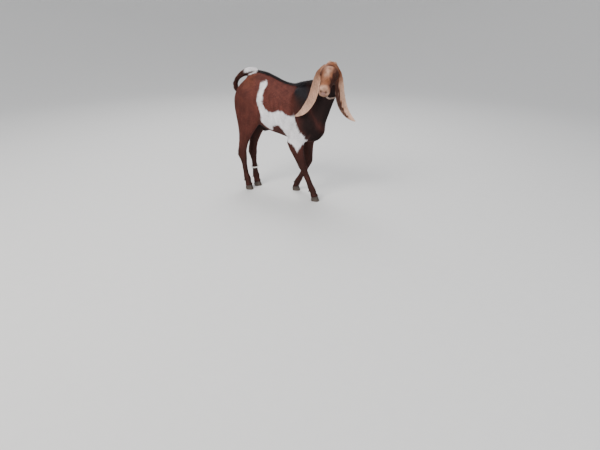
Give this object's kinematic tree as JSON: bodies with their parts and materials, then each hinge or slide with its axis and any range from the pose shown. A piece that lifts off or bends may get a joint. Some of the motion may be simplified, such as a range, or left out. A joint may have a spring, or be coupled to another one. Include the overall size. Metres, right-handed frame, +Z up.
{
  "type": "goat",
  "caption": "Still life-size model of a young lop-eared goat, standing with its head turned to its right and its forelegs crossed in side view.",
  "frame": {"origin": "on the floor, under the middle of the goat's outline", "axes": "+X the way the body faces, +Y the goat's left side, +Z up"},
  "size_m": [0.8462, 0.2996, 0.8234],
  "materials": {
    "coat_chestnut": "short glossy hair",
    "coat_dark": "short glossy hair",
    "coat_black": "short glossy hair",
    "coat_tan": "short fine hair",
    "coat_cream": "short fine hair",
    "horn": "dull horn",
    "eye": "wet and glossy",
    "white_plastic": "satin",
    "webbing": "flat woven strap"
  },
  "bodies": {
    "root": {"trunk": "coat_chestnut", "neck": "coat_black", "head": "coat_tan", "ear_right": "coat_cream", "ear_left": "coat_cream", "eye_right": "eye", "eye_left": "eye", "tail": "coat_dark", "leg_front_right": "coat_dark", "leg_front_left": "coat_dark", "leg_hind_right": "coat_dark", "leg_hind_left": "coat_dark", "claw_front_right_left": "horn", "claw_front_right_right": "horn", "claw_front_left_left": "horn", "claw_front_left_right": "horn", "claw_hind_right_left": "horn", "claw_hind_right_right": "horn", "claw_hind_left_left": "horn", "claw_hind_left_right": "horn", "dewclaw_front_right_left": "horn", "dewclaw_front_right_right": "horn", "dewclaw_front_left_left": "horn", "dewclaw_front_left_right": "horn", "dewclaw_hind_right_left": "horn", "dewclaw_hind_right_right": "horn", "dewclaw_hind_left_left": "horn", "dewclaw_hind_left_right": "horn", "leg_band": "white_plastic", "collar": "webbing"}
  },
  "joints": []
}
